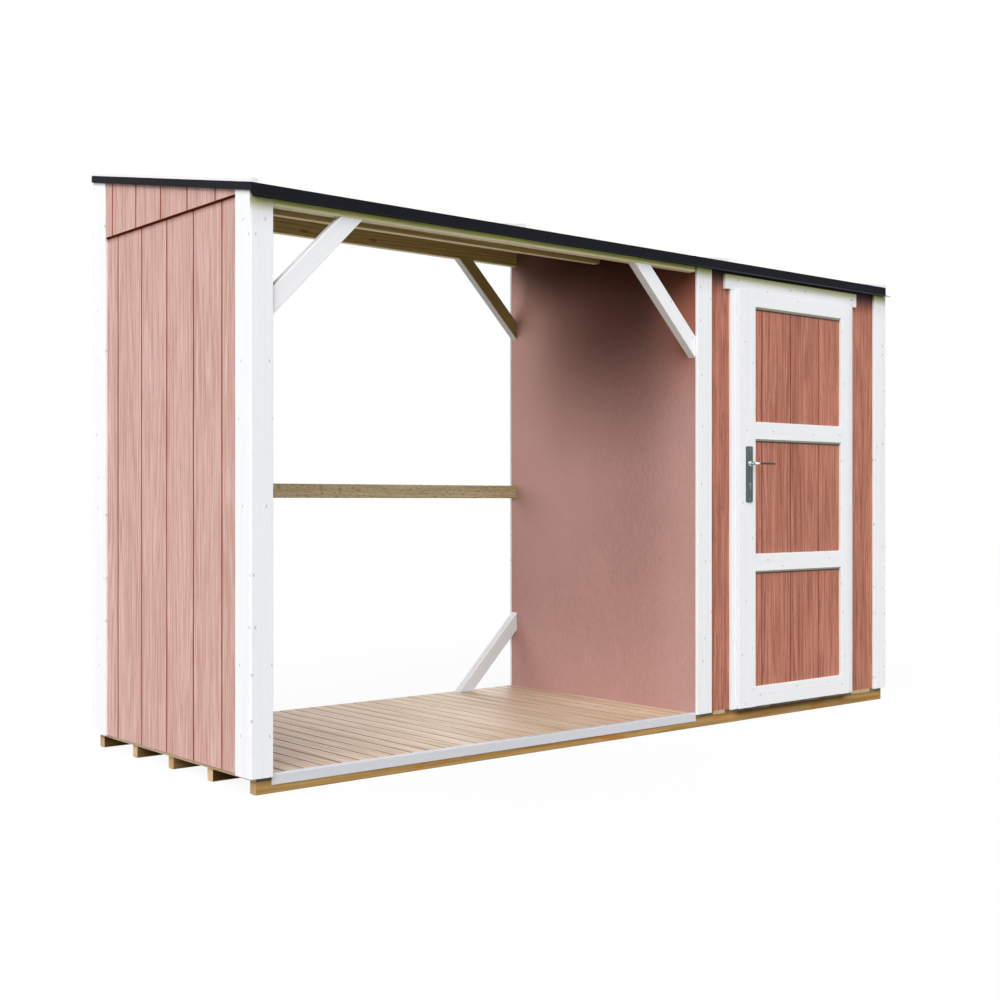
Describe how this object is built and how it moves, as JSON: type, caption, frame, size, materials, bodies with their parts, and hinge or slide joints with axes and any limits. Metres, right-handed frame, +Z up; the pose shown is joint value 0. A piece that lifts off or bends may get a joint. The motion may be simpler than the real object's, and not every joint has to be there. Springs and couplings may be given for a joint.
{
  "type": "log store",
  "caption": "Firewood store with an open braced bay and a closed tool shed with a hinged door, red sheet cladding, white boards and a sloping felt roof.",
  "frame": {"origin": "on the ground under the centre of the base, on the underside of the middle floor bearer", "axes": "+X to the right along the front as seen by someone facing it, +Y from the front to the rear, +Z up"},
  "size_m": [3.514, 1.293, 2.2398],
  "materials": {
    "red_paint": "matt paint on fine-sawn sheet",
    "white_paint": "satin paint",
    "pine": "bare planed softwood",
    "bearer_wood": "bare sawn softwood, impregnated",
    "roof_felt": "matt bitumen felt",
    "edge_strip": "galvanised, dull",
    "drip_metal": "dark paint",
    "batten_paint": "light grey paint",
    "hinge_steel": "zinc plated",
    "handle_metal": "satin"
  },
  "bodies": {
    "store": {"left_cladding": "red_paint", "left_gable": "red_paint", "left_lining": "red_paint", "partition_lining": "red_paint", "front_cladding_left": "red_paint", "front_cladding_right": "red_paint", "front_cladding_over": "red_paint", "right_cladding": "red_paint", "right_gable": "red_paint", "rear_cladding": "red_paint", "door_casing": "white_paint", "door_header": "white_paint", "end_boards": "white_paint", "side_boards": "white_paint", "front_beam": "white_paint", "front_braces": "white_paint", "rear_upper_braces": "white_paint", "rear_lower_braces": "white_paint", "floor": "pine", "left_posts": "pine", "partition_posts": "pine", "door_posts": "pine", "door_lintel": "pine", "right_posts": "pine", "rear_posts": "pine", "sole_plates": "pine", "shed_sole_plates": "pine", "rake_plates": "pine", "shed_top_plates": "pine", "purlins": "pine", "rear_beam": "pine", "rear_rail": "pine", "roof_deck": "pine", "floor_bearers": "bearer_wood", "roof_felt": "roof_felt", "roof_fascia": "roof_felt", "floor_edge_strip": "edge_strip", "drip_edge": "drip_metal", "roof_battens": "batten_paint", "hinge_fixed_halves": "hinge_steel"},
    "door": {"door_sheet": "red_paint", "door_stiles": "white_paint", "door_rails": "white_paint", "hinge_moving_halves": "hinge_steel", "handle_plates": "handle_metal"},
    "lever": {"lever_handle": "handle_metal"}
  },
  "joints": [
    {"name": "door_hinge", "type": "hinge", "parent": "store", "child": "door", "pos_m": [1.439, -0.6165, 0.967], "axis": [0, 0, 1], "range_deg": [0, 100]},
    {"name": "lever_turn", "type": "hinge", "parent": "door", "child": "lever", "pos_m": [0.706, -0.6275, 1.122], "axis": [0, 1, 0], "range_deg": [0, 40], "stiffness_Nm_per_rad": 2, "springref_deg": -22.92}
  ]
}
